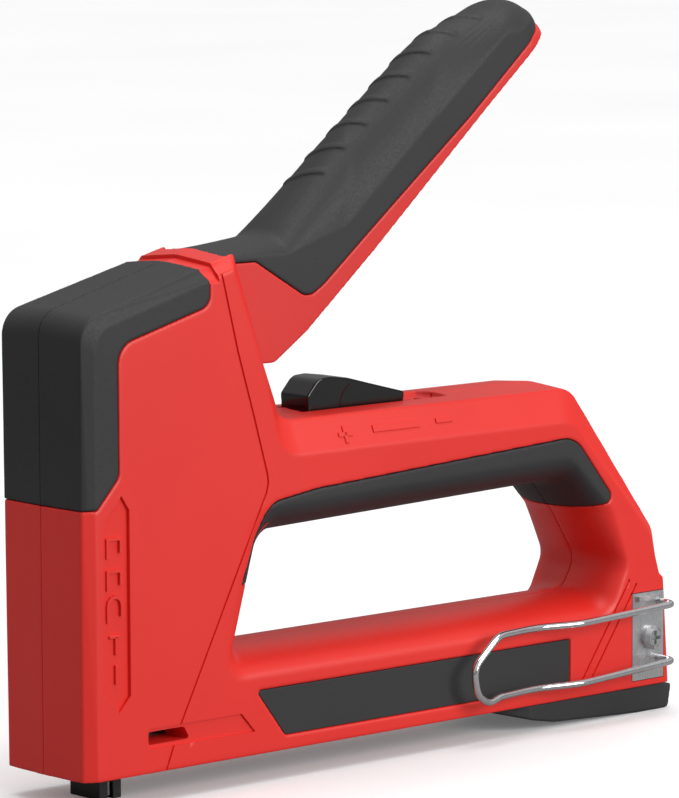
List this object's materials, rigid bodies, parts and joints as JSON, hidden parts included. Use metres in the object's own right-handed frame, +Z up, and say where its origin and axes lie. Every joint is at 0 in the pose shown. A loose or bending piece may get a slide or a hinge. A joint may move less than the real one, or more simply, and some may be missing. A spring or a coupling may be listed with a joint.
{
  "type": "staple gun",
  "caption": "Hand-powered staple gun with a squeeze lever, soft grips, power slide, belt hook wire and pull-out magazine.",
  "frame": {"origin": "middle of the staple outlet, on the plane that the nose and the rear foot stand on", "axes": "+X towards the rear of the tool, +Y towards its right-hand side, +Z up towards the lever"},
  "size_m": [0.2072, 0.0409, 0.1958],
  "materials": {
    "housing_red": "satin moulded nylon, fine texture",
    "lever_red": "satin moulded nylon, fine texture",
    "soft_black": "matt overmoulded elastomer",
    "hard_black": "fine-textured moulding",
    "plate_black": "satin plate, no lettering",
    "gloss_black": "polished moulding",
    "black_steel": "black oxide",
    "plain_steel": "pressed steel",
    "zinc_steel": "zinc plated",
    "spring_steel": "drawn spring wire",
    "chrome_wire": "bright chrome"
  },
  "bodies": {
    "housing": {"left_housing": "housing_red", "right_housing": "housing_red", "left_bumper": "soft_black", "right_bumper": "soft_black", "left_grip_pad": "soft_black", "right_grip_pad": "soft_black", "left_label_plate": "plate_black", "right_label_plate": "plate_black", "housing_screws": "zinc_steel", "nose_piece": "black_steel", "guide_plate": "plain_steel", "spring_seat": "plain_steel", "shock_pad": "soft_black", "lever_pivot_pin": "plain_steel", "belt_hook_plate": "zinc_steel", "belt_hook_screw": "zinc_steel", "belt_hook_wire": "chrome_wire", "magazine_channel": "plain_steel", "staple_strip": "zinc_steel", "detent_spring": "plain_steel", "lever_return_spring": "spring_steel", "mainspring": "spring_steel"},
    "lever": {"lever_frame": "lever_red", "lever_grip": "soft_black", "lifting_fork": "plain_steel", "fork_rivet": "plain_steel"},
    "driver": {"striker": "plain_steel", "driver_blade": "plain_steel", "driver_pin": "plain_steel"},
    "magazine": {"staple_rail": "plain_steel", "magazine_foot": "hard_black", "foot_pin": "plain_steel", "magazine_latch": "plain_steel", "pusher_rod": "plain_steel"},
    "staple_pusher": {"pusher": "hard_black", "pusher_spring": "spring_steel"},
    "power_slide": {"power_slider": "gloss_black", "power_link": "plain_steel", "link_screw": "zinc_steel"}
  },
  "joints": [
    {"name": "lever_squeeze", "type": "hinge", "parent": "housing", "child": "lever", "pos_m": [0.032, 0, 0.114], "axis": [0, 1, 0], "range_deg": [0, 36], "stiffness_Nm_per_rad": 0.35, "springref_deg": -51.57, "deforming": ["lever_return_spring"]},
    {"name": "driver_lift", "type": "slide", "parent": "housing", "child": "driver", "axis": [0, 0, 1], "range_m": [0, 0.0208], "deforming": ["mainspring"]},
    {"name": "magazine_pull", "type": "slide", "parent": "housing", "child": "magazine", "axis": [1, 0, 0], "range_m": [0, 0.1]},
    {"name": "pusher_travel", "type": "slide", "parent": "magazine", "child": "staple_pusher", "axis": [1, 0, 0], "range_m": [0, 0.05], "stiffness_N_per_m": 40, "springref_m": -0.05, "deforming": ["pusher_spring"]},
    {"name": "power_shift", "type": "slide", "parent": "housing", "child": "power_slide", "axis": [1, 0, 0], "range_m": [0, 0.01]}
  ],
  "couplings": [
    {"joint": "driver_lift", "follows": "lever_squeeze", "m_per_rad": 0.033}
  ]
}
